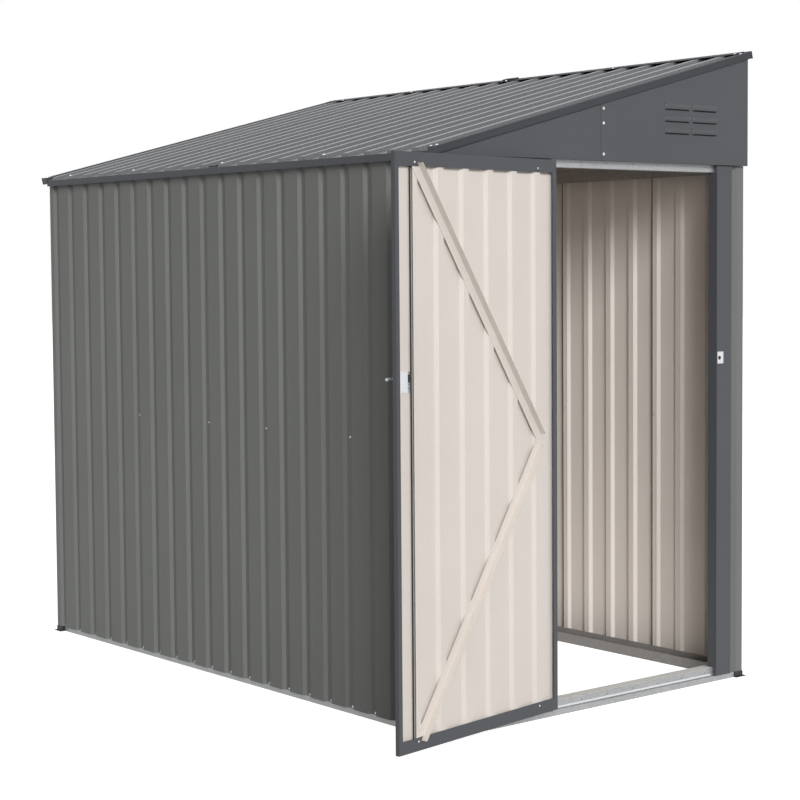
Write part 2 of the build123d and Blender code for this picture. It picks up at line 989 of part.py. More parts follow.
# Latch: a slotted plate inside, and outside a bent bar that reaches past the leaf's edge
plate_y = skin_y + sheet_t
bar_y = leaf_outer - latch_standoff
bar_points = [(leaf_end + x, slot_z + z) for x, z in latch_bar_bends]
with BuildPart() as door_latch:
    with BuildSketch(along_leaf(plate_y)):
        with Locations((plate_x, latch_z)):
            Rectangle(latch_plate_width, latch_plate_height, align=(Align.MIN, Align.CENTER))
        with Locations((slot_x, slot_z)):
            Rectangle(latch_slot_width, latch_slot_height, mode=Mode.SUBTRACT)
    extrude(amount=-latch_plate_t)
    with BuildSketch(along_leaf(bar_y)):
        make_face(fold(bar_points, latch_bar_height))
        with Locations((bar_points[-1][0], bar_points[-1][1] + latch_bar_height / 2)):
            Circle(latch_tip_r)
    extrude(amount=latch_bar_t)
    with BuildSketch(along_leaf(skin_y)):
        with Locations((bar_points[0][0], bar_points[0][1] + latch_bar_height / 2)):
            Circle(latch_boss_r)
    extrude(amount=skin_y - bar_y + latch_bar_t)
save(door_latch, "door_latch")

# Keeper on the lock post, with a hole for the latch
keeper_x = lock_post_x + keeper_inset
with BuildPart() as lock_keeper:
    with BuildSketch(Plane.XZ.offset(-post_y)):
        with Locations((keeper_x, slot_z)):
            Rectangle(keeper_width, keeper_height, align=(Align.MIN, Align.CENTER))
        with Locations((keeper_x + keeper_width * keeper_hole_share, slot_z)):
            Circle(keeper_hole_r, mode=Mode.SUBTRACT)
    extrude(amount=keeper_t)
save(lock_keeper, "lock_keeper")
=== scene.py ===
"""Finishes, fasteners and studio of a lean-to steel storage shed, laid out as an add-on."""

import json
import math

import bpy
from mathutils import Matrix, Vector


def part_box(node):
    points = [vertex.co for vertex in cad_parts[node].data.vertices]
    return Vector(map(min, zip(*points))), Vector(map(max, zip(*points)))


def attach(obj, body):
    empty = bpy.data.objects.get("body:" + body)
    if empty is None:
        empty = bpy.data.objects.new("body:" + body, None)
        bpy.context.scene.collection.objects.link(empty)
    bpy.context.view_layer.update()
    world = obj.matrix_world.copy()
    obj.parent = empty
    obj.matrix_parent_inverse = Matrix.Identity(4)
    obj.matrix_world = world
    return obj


bl_info = {
    "name": "Lean-to steel shed",
    "version": (1, 0, 0),
    "blender": (4, 5, 0),
    "location": "3D View > Sidebar > Shed",
    "description": "Dresses a folded steel shed with its coats, zinc, fasteners and studio",
    "category": "Object",
}

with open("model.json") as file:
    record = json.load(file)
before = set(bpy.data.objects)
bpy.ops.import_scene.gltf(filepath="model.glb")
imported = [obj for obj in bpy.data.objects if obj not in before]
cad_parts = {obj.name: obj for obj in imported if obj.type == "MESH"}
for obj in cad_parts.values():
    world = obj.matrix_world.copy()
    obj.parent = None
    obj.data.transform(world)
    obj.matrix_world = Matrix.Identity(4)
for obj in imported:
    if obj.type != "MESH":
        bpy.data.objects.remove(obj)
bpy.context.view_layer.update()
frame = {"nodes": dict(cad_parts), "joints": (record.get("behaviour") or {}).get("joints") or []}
MM = 0.001

# Bodies of the record
SHED = "shed"
DOOR = "door"

# Walls, front frame and lock keeper, read from the frame
WALL_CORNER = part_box("corner_sheet_back_high")[1]
HALF_WIDTH = WALL_CORNER.x
HALF_LENGTH = WALL_CORNER.y
FRAME_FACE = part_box("front_header")[0].y
KEEPER_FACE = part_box("lock_keeper")[0].y

# Gables, which stand out from the walls
GABLE_PROUD = 12 * MM
GABLE_FACE = HALF_LENGTH + GABLE_PROUD

# Ribs of the sheets, and the grooves of the walls counted from the front or from the middle of the back
RIB_PITCH = 107.5 * MM
RIB_DEPTH = 10 * MM
SHEET = 0.8 * MM
LAP = 0.9 * MM
LOW_MARGIN = 95.7 * MM
HIGH_MARGIN = 54.2 * MM
CORNER_MARGIN = 49 * MM
SIDE_GROOVES = 20
SIDE_LAPS = (3, 7, 10, 14)
BACK_HALF_GROOVES = 6
BACK_LAP = 2

# Roof, with its lapped ribs counted from the middle of its length
ROOF_LAPS = (-10, -5, 0, 5, 9)
ROOF_PITCH = math.radians(14.4)
ROOF_LOW_Z = 1677 * MM
ROOF_UP = Vector((-math.sin(ROOF_PITCH), 0, math.cos(ROOF_PITCH)))
ROOF_ALONG = Vector((math.cos(ROOF_PITCH), 0, math.sin(ROOF_PITCH)))

# Door leaf, open about its pin
HINGE = frame["joints"][0]
PIN = Vector(HINGE["pos_m"])
DOOR_TURN = math.radians(-HINGE["range_deg"][0])
LEAF_ALONG = Vector((math.cos(DOOR_TURN), -math.sin(DOOR_TURN), 0))
LEAF_INWARD = Vector((math.sin(DOOR_TURN), math.cos(DOOR_TURN), 0))


def on_roof(x, y, rise):
    """A point above the underside of the roof's pans."""
    z = ROOF_LOW_Z + (x + HALF_WIDTH) * math.tan(ROOF_PITCH)
    return Vector((x, y, z)) + ROOF_UP * rise


def on_leaf(x, y, z):
    """A point of the leaf, from its own places along, inwards and up."""
    return PIN + LEAF_ALONG * x + LEAF_INWARD * y + Vector((0, 0, z))


# Properties

def linear(code):
    """Linear colour of an sRGB hex value."""
    channels = [int(code[i : i + 2], 16) / 255 for i in (0, 2, 4)]
    return [c / 12.92 if c <= 0.04045 else ((c + 0.055) / 1.055) ** 2.4 for c in channels] + [1.0]


def colour(name, description, code):
    """Colour property with a hex default."""
    return bpy.props.FloatVectorProperty(
        name=name, description=description, subtype="COLOR", size=4, min=0, max=1, default=linear(code)
    )


def length(name, description, default):
    """Length property in metres."""
    return bpy.props.FloatProperty(
        name=name, description=description, unit="LENGTH", precision=4, min=0, default=default
    )


def level(name, description, default):
    """Strength property of a light."""
    return bpy.props.FloatProperty(name=name, description=description, min=0, default=default)


class ShedFinish(bpy.types.PropertyGroup):
    """Colours of the coats, metals and plastics."""

    wall_coat: colour("Wall coat", "Green-grey polyester coat on the outside of the walls", "717370")
    cream_coat: colour("Cream coat", "Cream backing coat on the inside of all sheets", "DBD3CC")
    roof_coat: colour("Roof coat", "Blue-grey polyester coat on top of the roof", "4E5054")
    trim_coat: colour("Trim coat", "Dark blue-grey coat of gables, posts and door frame", "535559")
    edge_coat: colour("Edge coat", "Darker blue-grey coat of the ridge and verge trims", "494B4F")
    # The bright zinc also paints highlights at the ends of the gables' louvres
    zinc: colour("Zinc", "Bright hot-dip zinc of sill, header and low and back base rails", "A5A6A7")
    # A darker copy of the same zinc, with the shade inside the shed painted into it
    shaded_zinc: colour(
        "Shaded zinc", "Painted-shade zinc of the top rails, the beam, the rafter and the high base rail", "9A9794"
    )
    # The plating's colour also paints a highlight along the sill's step
    zinc_plate: colour("Zinc plating", "Bright zinc plating of screws and latch", "D2D3D5")
    # The washers' pale colour also paints a reflection along the sill's top
    washer: colour("Washer", "Pale plastic of the washers and the painted reflection on the sill's top", "DEDEDA")
    # The feet's black also paints the shade in the open joints of the roof's trims
    rubber_and_joint_shade: colour("Feet", "Black moulded plastic of the feet and the trims' joint pads", "161718")
    opening: colour("Openings", "Shade inside punched holes and open laps", "1A1A1B")


class ShedFasteners(bpy.types.PropertyGroup):
    """Sizes of screws and punched holes."""

    washer_radius: length("Washer radius", "Radius of the screws' plastic washers", 4.8 * MM)
    washer_thickness: length("Washer thickness", "Thickness of the screws' washers", 0.9 * MM)
    head_radius: length("Head radius", "Radius of the screws' pan heads", 3.4 * MM)
    head_height: length("Head height", "Height of the screws' pan heads", 2.2 * MM)
    tip_radius: length("Tip radius", "Radius of the screws' ends behind the sheets", 2 * MM)
    tip_length: length("Tip length", "Reach of the screws' ends behind the sheets", 10 * MM)
    hole_radius: length("Hole radius", "Radius of the punched holes", 1.8 * MM)


class ShedStudio(bpy.types.PropertyGroup):
    """Floor, light and camera."""

    floor_coat: colour("Floor", "Pale floor", "B4B4B4")
    floor_radius: length("Floor radius", "Radius of the round floor", 40.0)
    sky_strength: level("Sky strength", "Level of the even light from all round", 0.1)
    key_strength: level("Key strength", "Level of the soft light from front left", 2.2)
    fill_strength: level("Fill strength", "Level of the soft light from front right", 0.5)
    front_strength: level("Front strength", "Level of the low soft light from the front", 0.5)
    top_strength: level("Top strength", "Level of the soft light from overhead", 0.5)
    back_strength: level("Back strength", "Level of the soft light from back right", 1.6)
    room_power: level("Room power", "Light thrown up from the floor of the room", 2.6)
    camera_place: bpy.props.FloatVectorProperty(
        name="Camera place",
        description="Where the camera stands",
        subtype="TRANSLATION",
        default=(-4.1341, -5.1179, 1.3569),
    )
    camera_turn: bpy.props.FloatVectorProperty(
        name="Camera turn",
        description="Yaw to the right of the depth axis, pitch down and roll",
        subtype="EULER",
        default=(0.6763, 0.0597, -0.0087),
    )
    lens: bpy.props.FloatProperty(
        name="Lens", description="Focal length on a 36 mm sensor", unit="CAMERA", default=85.24
    )


# Sizes of the finishes' patterns and heights of their relief
TONE_DRIFT = 455 * MM
COAT_GRIT = 4 * MM
PEEL_HEIGHT = 0.4 * MM
WAVE_ACROSS = 200 * MM
WAVE_DOWN = 625 * MM
WAVE_HEIGHT = 2.5 * MM
ZINC_CRYSTAL = 9.1 * MM
ZINC_CLOUD = 111 * MM
PLASTIC_GRAIN = 2 * MM
GRAIN_HEIGHT = 0.3 * MM
PLATING_CLOUD = 6.25 * MM
WASHER_MOTTLE = 3.3 * MM
HOLE_GRAIN = 2.5 * MM

# Roughness of a satin and a glossier coat, how far it drifts, and how strongly each coat reflects
SATIN = 0.45
GLOSS = 0.3
GLOSS_DRIFT = 0.05
WALL_SHINE = 0.2
ROOF_SHINE = 0.8
TRIM_SHINE = 0.15
EDGE_SHINE = 0.02

# Shares of bare metal in bright zinc, in the darker zinc that carries painted shade, and in plating
BRIGHT_METAL = 0.5
SHADED_ZINC_METAL = 0.1
PLATED_METAL = 0.85

# Least share of the outward way that a surface's normal has while the outer coat still shows
OUTER_COAT_LIMIT = -0.1


# Shader nodes

def add_node(tree, kind, inputs=None, **settings):
    """Adds a node with its settings, and sets or links its inputs."""
    node = tree.nodes.new(kind)
    for name, value in settings.items():
        setattr(node, name, value)
    for key, value in (inputs or {}).items():
        if isinstance(value, bpy.types.NodeSocket):
            tree.links.new(value, node.inputs[key])
        else:
            node.inputs[key].default_value = value
    return node


def new_material(name):
    """Empty material with its surface shader and the object's own coordinates."""
    material = bpy.data.materials.new(name)
    material.use_nodes = True
    tree = material.node_tree
    tree.nodes.clear()
    shader = add_node(tree, "ShaderNodeBsdfPrincipled")
    add_node(tree, "ShaderNodeOutputMaterial", {"Surface": shader.outputs[0]})
    coords = add_node(tree, "ShaderNodeTexCoord")
    return material, tree, shader, coords


def shared(name, make, *args):
    """A material that several pieces share, made on first use."""
    return bpy.data.materials.get(name) or make(*args)


def paint_texture(tree, shader, coords, base, roughness, shine):
    """Coil-coated paint: faint drift of tone, orange peel, and shallow waves in the thin sheet."""
    place = coords.outputs["Object"]
    # Tone drifts over about half a metre
    drift = add_node(tree, "ShaderNodeTexNoise", {"Vector": place, "Scale": 1 / TONE_DRIFT, "Detail": 2.0})
    # Grit of the coat, drawn at 4 mm because the real 0.3 mm is too fine to show
    grit = add_node(tree, "ShaderNodeTexNoise", {"Vector": place, "Scale": 1 / COAT_GRIT, "Detail": 2.0})
    mixed = add_node(
        tree, "ShaderNodeMath", {0: drift.outputs[0], 1: grit.outputs[0]}, operation="ADD"
    )
    tone = add_node(
        tree,
        "ShaderNodeMapRange",
        {"Value": mixed.outputs[0], "From Min": 0.6, "From Max": 1.4, "To Min": 0.95, "To Max": 1.05},
    )
    coat = add_node(
        tree, "ShaderNodeVectorMath", {0: base, "Scale": tone.outputs[0]}, operation="SCALE"
    )
    tree.links.new(coat.outputs[0], shader.inputs["Base Color"])
    gloss = add_node(
        tree,
        "ShaderNodeMapRange",
        {
            "Value": grit.outputs[0],
            "From Min": 0.3,
            "From Max": 0.7,
            "To Min": roughness - GLOSS_DRIFT,
            "To Max": roughness + GLOSS_DRIFT,
        },
    )
    tree.links.new(gloss.outputs[0], shader.inputs["Roughness"])
    shader.inputs["Specular IOR Level"].default_value = shine
    # Waves of thin sheet, longer down the sheet than across it
    stretched = add_node(
        tree,
        "ShaderNodeVectorMath",
        {0: place, 1: (1 / WAVE_ACROSS, 1 / WAVE_ACROSS, 1 / WAVE_DOWN)},
        operation="MULTIPLY",
    )
    waves = add_node(
        tree, "ShaderNodeTexNoise", {"Vector": stretched.outputs[0], "Scale": 1.0, "Detail": 1.0}
    )
    peel = add_node(
        tree,
        "ShaderNodeBump",
        {"Height": grit.outputs[0], "Strength": 0.06, "Distance": PEEL_HEIGHT},
    )
    bump = add_node(
        tree,
        "ShaderNodeBump",
        {
            "Height": waves.outputs[0],
            "Strength": 0.35,
            "Distance": WAVE_HEIGHT,
            "Normal": peel.outputs[0],
        },
    )
    tree.links.new(bump.outputs[0], shader.inputs["Normal"])


def two_coats(tree, outward, outside, inside):
    """Colour socket with one coat where the surface faces outwards and another behind it."""
    faces_out = add_node(
        tree, "ShaderNodeMath", {0: outward, 1: OUTER_COAT_LIMIT}, operation="GREATER_THAN"
    )
    return add_node(
        tree,
        "ShaderNodeMix",
        {0: faces_out.outputs[0], 6: list(inside), 7: list(outside)},
        data_type="RGBA",
    ).outputs[2]


def wall_sheet_steel(finish):
    """Coil-coated steel: satin green-grey polyester outside, cream backing coat inside."""
    material, tree, shader, coords = new_material("coil_coated_wall_steel")
    place = add_node(tree, "ShaderNodeSeparateXYZ", {0: coords.outputs["Object"]})
    facing = add_node(tree, "ShaderNodeSeparateXYZ", {0: coords.outputs["Normal"]})
    depths = []
    outs = []
    for axis, half in ((0, HALF_WIDTH), (1, HALF_LENGTH)):
        far = add_node(tree, "ShaderNodeMath", {0: place.outputs[axis]}, operation="ABSOLUTE")
        depth = add_node(tree, "ShaderNodeMath", {0: half, 1: far.outputs[0]}, operation="SUBTRACT")
        side = add_node(tree, "ShaderNodeMath", {0: place.outputs[axis]}, operation="SIGN")
        out = add_node(
            tree,
            "ShaderNodeMath",
            {0: facing.outputs[axis], 1: side.outputs[0]},
            operation="MULTIPLY",
        )
        depths.append(depth.outputs[0])
        outs.append(out.outputs[0])
    # The nearer wall says which way is out, so that a folded corner sheet turns with its fold
    on_side = add_node(tree, "ShaderNodeMath", {0: depths[0], 1: depths[1]}, operation="LESS_THAN")
    outward = add_node(tree, "ShaderNodeMix", {0: on_side.outputs[0], 2: outs[1], 3: outs[0]})
    base = two_coats(tree, outward.outputs[0], finish.wall_coat, finish.cream_coat)
    paint_texture(tree, shader, coords, base, SATIN, WALL_SHINE)
    return material


def facing_steel(name, direction, outside, inside, roughness, shine):
    """Coil-coated steel with one coat towards a direction and another away from it."""
    material, tree, shader, coords = new_material(name)
    outward = add_node(
        tree,
        "ShaderNodeVectorMath",
        {0: coords.outputs["Normal"], 1: direction},
        operation="DOT_PRODUCT",
    )
    base = two_coats(tree, outward.outputs["Value"], outside, inside)
    paint_texture(tree, shader, coords, base, roughness, shine)
    return material


def coated_steel(name, coat, shine):
    """Folded steel with the same satin coat all over."""
    material, tree, shader, coords = new_material(name)
    paint_texture(tree, shader, coords, list(coat)[:3], SATIN, shine)
    return material


def galvanised_steel(name, zinc, metallic):
    """Hot-dip zinc: grey metal with a faint spangle of crystals, under broader clouds."""
    material, tree, shader, coords = new_material(name)
    place = coords.outputs["Object"]
    crystals = add_node(tree, "ShaderNodeTexVoronoi", {"Vector": place, "Scale": 1 / ZINC_CRYSTAL})
    shade = add_node(tree, "ShaderNodeSeparateColor", {0: crystals.outputs["Color"]})
    clouds = add_node(tree, "ShaderNodeTexNoise", {"Vector": place, "Scale": 1 / ZINC_CLOUD, "Detail": 4.0})
    mixed = add_node(
        tree, "ShaderNodeMath", {0: shade.outputs[0], 1: clouds.outputs[0]}, operation="ADD"
    )
    tone = add_node(
        tree,
        "ShaderNodeMapRange",
        {"Value": mixed.outputs[0], "From Min": 0.3, "From Max": 1.7, "To Min": 0.86, "To Max": 1.08},
    )
    metal = add_node(
        tree,
        "ShaderNodeVectorMath",
        {0: list(zinc)[:3], "Scale": tone.outputs[0]},
        operation="SCALE",
    )
    gloss = add_node(
        tree,
        "ShaderNodeMapRange",
        {"Value": mixed.outputs[0], "From Min": 0.3, "From Max": 1.7, "To Min": 0.38, "To Max": 0.52},
    )
    tree.links.new(metal.outputs[0], shader.inputs["Base Color"])
    tree.links.new(gloss.outputs[0], shader.inputs["Roughness"])
    shader.inputs["Metallic"].default_value = metallic
    return material


def moulded_plastic(finish):
    """Black moulded plastic with a fine matt grain, drawn at 2 mm so that it shows; it also paints the shade
    in the trims' open joints.
    """
    material, tree, shader, coords = new_material("black_moulded_plastic")
    grain = add_node(
        tree, "ShaderNodeTexNoise", {"Vector": coords.outputs["Object"], "Scale": 1 / PLASTIC_GRAIN}
    )
    bump = add_node(
        tree, "ShaderNodeBump", {"Height": grain.outputs[0], "Strength": 0.2, "Distance": GRAIN_HEIGHT}
    )
    shader.inputs["Base Color"].default_value = finish.rubber_and_joint_shade
    shader.inputs["Roughness"].default_value = 0.55
    tree.links.new(bump.outputs[0], shader.inputs["Normal"])
    return material


def mottled_gloss(tree, shader, coords, size, smooth, rough):
    """Roughness that drifts between two values over a mottle of a given size."""
    mottle = add_node(tree, "ShaderNodeTexNoise", {"Vector": coords.outputs["Object"], "Scale": 1 / size})
    gloss = add_node(
        tree,
        "ShaderNodeMapRange",
        {"Value": mottle.outputs[0], "From Min": 0.3, "From Max": 0.7, "To Min": smooth, "To Max": rough},
    )
    tree.links.new(gloss.outputs[0], shader.inputs["Roughness"])


def plated_steel(finish):
    """Bright zinc plating over steel: silvery, with faint brushed clouds; it also paints a highlight along
    the sill's step.
    """
    material, tree, shader, coords = new_material("zinc_plated_steel")
    shader.inputs["Base Color"].default_value = finish.zinc_plate
    shader.inputs["Metallic"].default_value = PLATED_METAL
    mottled_gloss(tree, shader, coords, PLATING_CLOUD, smooth=0.25, rough=0.4)
    return material


def washer_plastic(finish):
    """Pale soft plastic, slightly mottled; it also paints a reflection along the sill's top."""
    material, tree, shader, coords = new_material("pale_washer_plastic")
    shader.inputs["Base Color"].default_value = finish.washer
    mottled_gloss(tree, shader, coords, WASHER_MOTTLE, smooth=0.4, rough=0.55)
    return material


def hole_shade(finish):
    """Deep shade seen in a punched hole or an open lap, with a trace of grain."""
    material, tree, shader, coords = new_material("punched_hole_shade")
    shader.inputs["Base Color"].default_value = finish.opening
    mottled_gloss(tree, shader, coords, HOLE_GRAIN, smooth=0.8, rough=0.95)
    return material


# Finishes of the CAD nodes

ENDS = ("front", "back")
# Gables and upper panel, with the way that each faces
PANELS = {
    "front": ((0, -1, 0), ("front_gable_low", "front_gable_high")),
    "back": ((0, 1, 0), ("back_gable_low", "back_gable_high")),
    "high": ((1, 0, 0), ("upper_panel",)),
}


def dress(material, *names):
    """Gives CAD nodes a material."""
    for name in names:
        node = frame["nodes"][name]
        if not node.material_slots:
            node.data.materials.append(material)
        for slot in node.material_slots:
            slot.material = material


class SHED_OT_walls(bpy.types.Operator):
    """Coats the wall and corner sheets"""

    bl_idname = "shed.walls"
    bl_label = "Coat walls"

    def execute(self, context):
        steel = wall_sheet_steel(context.scene.shed_finish)
        corners = [f"corner_sheet_{end}_{side}" for end in ENDS for side in ("low", "high")]
        dress(steel, "low_wall_sheets", "high_wall_sheets", "back_wall_sheet", *corners)
        return {"FINISHED"}


class SHED_OT_roof(bpy.types.Operator):
    """Coats the roof sheets"""

    bl_idname = "shed.roof"
    bl_label = "Coat roof"

    def execute(self, context):
        finish = context.scene.shed_finish
        steel = facing_steel(
            "coil_coated_roof_steel", ROOF_UP, finish.roof_coat, finish.cream_coat, GLOSS, ROOF_SHINE
        )
        dress(steel, "roof_sheets")
        return {"FINISHED"}


class SHED_OT_trims(bpy.types.Operator):
    """Coats gables, upper panel, roof trims and door posts"""

    bl_idname = "shed.trims"
    bl_label = "Coat trims"

    def execute(self, context):
        finish = context.scene.shed_finish
        steel = coated_steel("dark_coated_trim_steel", finish.trim_coat, TRIM_SHINE)
        dress(steel, "hinge_post", "lock_post", *[f"eave_trim_{end}" for end in ENDS])
        edging = coated_steel("dark_coated_edge_steel", finish.edge_coat, EDGE_SHINE)
        dress(edging, *[f"{edge}_trim_{end}" for edge in ("ridge", "verge") for end in ENDS])
        for side, (outward, nodes) in PANELS.items():
            name = f"coil_coated_{side}_panel_steel"
            sheet = facing_steel(name, outward, finish.trim_coat, finish.cream_coat, SATIN, TRIM_SHINE)
            dress(sheet, *nodes)
        return {"FINISHED"}


class SHED_OT_frame(bpy.types.Operator):
    """Finishes the galvanised frame, the feet, the lock keeper and the post's hinges"""

    bl_idname = "shed.frame"
    bl_label = "Galvanise frame"

    def execute(self, context):
        finish = context.scene.shed_finish
        bright = galvanised_steel("galvanised_steel", finish.zinc, BRIGHT_METAL)
        dress(bright, "front_sill", "front_header", "base_rail_low", "base_rail_back")
        # Rails, beam and rafter inside the shed get the darker copy of the zinc, as painted shade
        shaded = galvanised_steel("weathered_galvanised_steel", finish.shaded_zinc, SHADED_ZINC_METAL)
        top_rails = [f"top_rail_{side}" for side in ("low", "high", "back")]
        dress(shaded, "high_beam", "rafter", "base_rail_high", *top_rails)
        dress(moulded_plastic(finish), "corner_feet")
        dress(shared("zinc_plated_steel", plated_steel, finish), "lock_keeper", "post_hinges")
        return {"FINISHED"}


class SHED_OT_door(bpy.types.Operator):
    """Coats the door leaf and finishes its latch and hinges"""

    bl_idname = "shed.door"
    bl_label = "Coat door"

    def execute(self, context):
        finish = context.scene.shed_finish
        steel = facing_steel(
            "coil_coated_door_steel", -LEAF_INWARD, finish.wall_coat, finish.cream_coat, SATIN, WALL_SHINE
        )
        dress(steel, "door_sheet_main", "door_sheet_lock")
        channel = bpy.data.materials["dark_coated_trim_steel"]
        dress(channel, "door_top_rail", "door_bottom_rail", "door_lock_stile", "door_hinge_stile")
        cream = coated_steel("cream_coated_brace_steel", finish.cream_coat, WALL_SHINE)
        dress(cream, "door_brace_upper", "door_brace_lower")
        dress(shared("zinc_plated_steel", plated_steel, finish), "door_latch", "door_hinges")
        return {"FINISHED"}


# Small shapes, joined into pieces

CROSS_ARM_SHARE = 0.44
CROSS_WIDTH_SHARE = 0.13
TIP_SIDES = 10
HOLE_SIDES = 16
HOLE_RISE = 0.12 * MM
SHARP_EDGE = math.radians(40)
SCREW_TURN = 2.4


def circle(count):
    """Angles of evenly spaced points round a circle."""
    return [math.tau * k / count for k in range(count)]


def ring(angles, radius, height):
    """Points round the vertical axis at one height."""
    return [(radius * math.cos(a), radius * math.sin(a), height) for a in angles]


def closed_rings(rings, band_materials):
    """Vertices, faces and face materials of stacked rings, closed at both ends."""
    count = len(rings[0])
    verts = [point for loop in rings for point in loop]
    faces = [list(reversed(range(count)))]
    materials = [band_materials[0]]
    for band, index in enumerate(band_materials):
        for k in range(count):
            a = band * count + k
            b = band * count + (k + 1) % count
            faces.append([a, b, b + count, a + count])
            materials.append(index)
    faces.append([len(verts) - count + k for k in range(count)])
    materials.append(band_materials[-1])
    return verts, faces, materials


def cross_points(radius):
    """Outline of a cross recess, twelve points from the first arm on."""
    long, short = CROSS_ARM_SHARE * radius, CROSS_WIDTH_SHARE * radius
    corner = [(long, -short), (long, short), (short, short)]
    points = []
    for quarter in range(4):
        turn = Matrix.Rotation(quarter * math.pi / 2, 2)
        points += [turn @ Vector(p) for p in corner]
    return points


def pan_screw(sizes):
    """Pan-head screw with a cross recess on a plastic washer, standing on its origin."""
    cross = cross_points(sizes.head_radius)
    angles = [math.atan2(p.y, p.x) for p in cross]
    flat, rim = sizes.washer_thickness, sizes.washer_radius
    rise, radius = sizes.head_height, sizes.head_radius
    rings = [
        ring(angles, rim, 0),
        ring(angles, rim, 0.6 * flat),
        ring(angles, rim - 0.4 * flat, flat),
        ring(angles, radius, flat),
        ring(angles, radius, flat + 0.35 * rise),
        ring(angles, 0.88 * radius, flat + 0.7 * rise),
        ring(angles, 0.62 * radius, flat + 0.94 * rise),
        [(p.x, p.y, flat + rise) for p in cross],
        [(p.x, p.y, flat + 0.45 * rise) for p in cross],
    ]
    return closed_rings(rings, [1, 1, 1, 0, 0, 0, 0, 0])


def screw_tip(sizes):
    """Pointed end of a screw that has come through the sheets."""
    shape = ((1, 0), (1, 0.6), (0.15, 1))
    angles = circle(TIP_SIDES)
    rings = [ring(angles, r * sizes.tip_radius, h * sizes.tip_length) for r, h in shape]
    return closed_rings(rings, [0, 0])


def punched_hole(radius):
    """Thin dark disc of painted shade in the mouth of a punched hole, lying on the surface that the hole
    pierces.
    """
    angles = circle(HOLE_SIDES)
    return closed_rings([ring(angles, radius, 0), ring(angles, radius, HOLE_RISE)], [0])


def block():
    """Cube of one metre about its origin, scaled into strips and plates."""
    corners = ((-0.5, -0.5), (0.5, -0.5), (0.5, 0.5), (-0.5, 0.5))
    return closed_rings([[(x, y, z) for x, y in corners] for z in (-0.5, 0.5)], [0])


def strip(centre, size, along=(1, 0, 0), up=(0, 0, 1)):
    """Place of a strip or plate: its middle, its sizes, and the ways of its first and last size."""
    first, last = Vector(along), Vector(up)
    turn = Matrix((first, last.cross(first), last)).transposed().to_4x4()
    return Matrix.Translation(Vector(centre)) @ turn @ Matrix.Diagonal((*size, 1))


def seat(point, normal, turn=0.0):
    """Places a fastener with its axis along a surface normal."""
    axis = Vector(normal).normalized()
    facing = axis.to_track_quat("Z", "Y").to_matrix().to_4x4()
    return Matrix.Translation(Vector(point)) @ facing @ Matrix.Rotation(turn, 4, "Z")


def scatter(name, shape, places, materials, body):
    """Joins one copy of a shape at each place into a piece that rides on a body."""
    verts, faces, indices = shape
    all_verts = []
    all_faces = []
    for place in places:
        start = len(all_verts)
        all_verts += [place @ Vector(v) for v in verts]
        all_faces += [[start + k for k in face] for face in faces]
    mesh = bpy.data.meshes.new(name)
    mesh.from_pydata(all_verts, [], all_faces)
    for material in materials:
        mesh.materials.append(material)
    mesh.polygons.foreach_set("material_index", indices * len(places))
    mesh.polygons.foreach_set("use_smooth", [True] * len(all_faces))
    mesh.set_sharp_from_angle(angle=SHARP_EDGE)
    mesh.update()
    piece = bpy.data.objects.new(name, mesh)
    bpy.context.scene.collection.objects.link(piece)
    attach(piece, body)


def screws(context, name, seats, body, scale=1.0):
    """Pan-head screws on plastic washers, in full size or scaled, each with its cross turned its own way."""
    finish = context.scene.shed_finish
    materials = [
        shared("zinc_plated_steel", plated_steel, finish),
        shared("pale_washer_plastic", washer_plastic, finish),
    ]
    places = [
        seat(p, n, math.fmod(SCREW_TURN * k, math.pi)) @ Matrix.Scale(scale, 4)
        for k, (p, n) in enumerate(seats)
    ]
    scatter(name, pan_screw(context.scene.shed_fasteners), places, materials, body)


def screw_tips(context, name, seats, body):
    """Ends of the screws at the given seats, behind two lapped sheets."""
    plated = shared("zinc_plated_steel", plated_steel, context.scene.shed_finish)
    places = [seat(Vector(p) - 2 * SHEET * Vector(n), -Vector(n)) for p, n in seats]
    scatter(name, screw_tip(context.scene.shed_fasteners), places, [plated], body)


def holes(context, name, seats, body, radius=None):
    """Discs of painted shade for punched holes at the given seats, of the usual radius or another one."""
    shade = shared("punched_hole_shade", hole_shade, context.scene.shed_finish)
    places = [seat(p, n) for p, n in seats]
    shape = punched_hole(radius or context.scene.shed_fasteners.hole_radius)
    scatter(name, shape, places, [shade], body)


# Screws of the walls

WALL_SCREW_LOW_Z = 24 * MM
WALL_SCREW_HIGH_Z = 1656 * MM
WALL_SCREW_MIDDLE_Z = 840 * MM
WALL_SCREW_OFFSET = -5 * MM
WALL_SCREW_SCALE = 0.75


def groove_seats(flat_places, laps, point, normal):
    """Screw seats at the foot and head of each groove, and half-way up the lapped ones."""
    seats = []
    for k, s in enumerate(flat_places):
        lapped = k in laps
        depth = RIB_DEPTH - (LAP if lapped else 0)
        heights = [WALL_SCREW_LOW_Z, WALL_SCREW_HIGH_Z]
        if lapped:
            heights.insert(1, WALL_SCREW_MIDDLE_Z)
        seats += [(point(s, depth, z), normal) for z in heights]
    return seats


def side_seats(sign, margin):
    """Screw seats along one long wall, whose first groove stands a margin behind the front."""
    places = [margin - HALF_LENGTH + RIB_PITCH * k for k in range(SIDE_GROOVES)]
    return groove_seats(
        places,
        SIDE_LAPS,
        lambda s, depth, z: (sign * (HALF_WIDTH - depth), s + WALL_SCREW_OFFSET, z),
        (sign, 0, 0),
    )


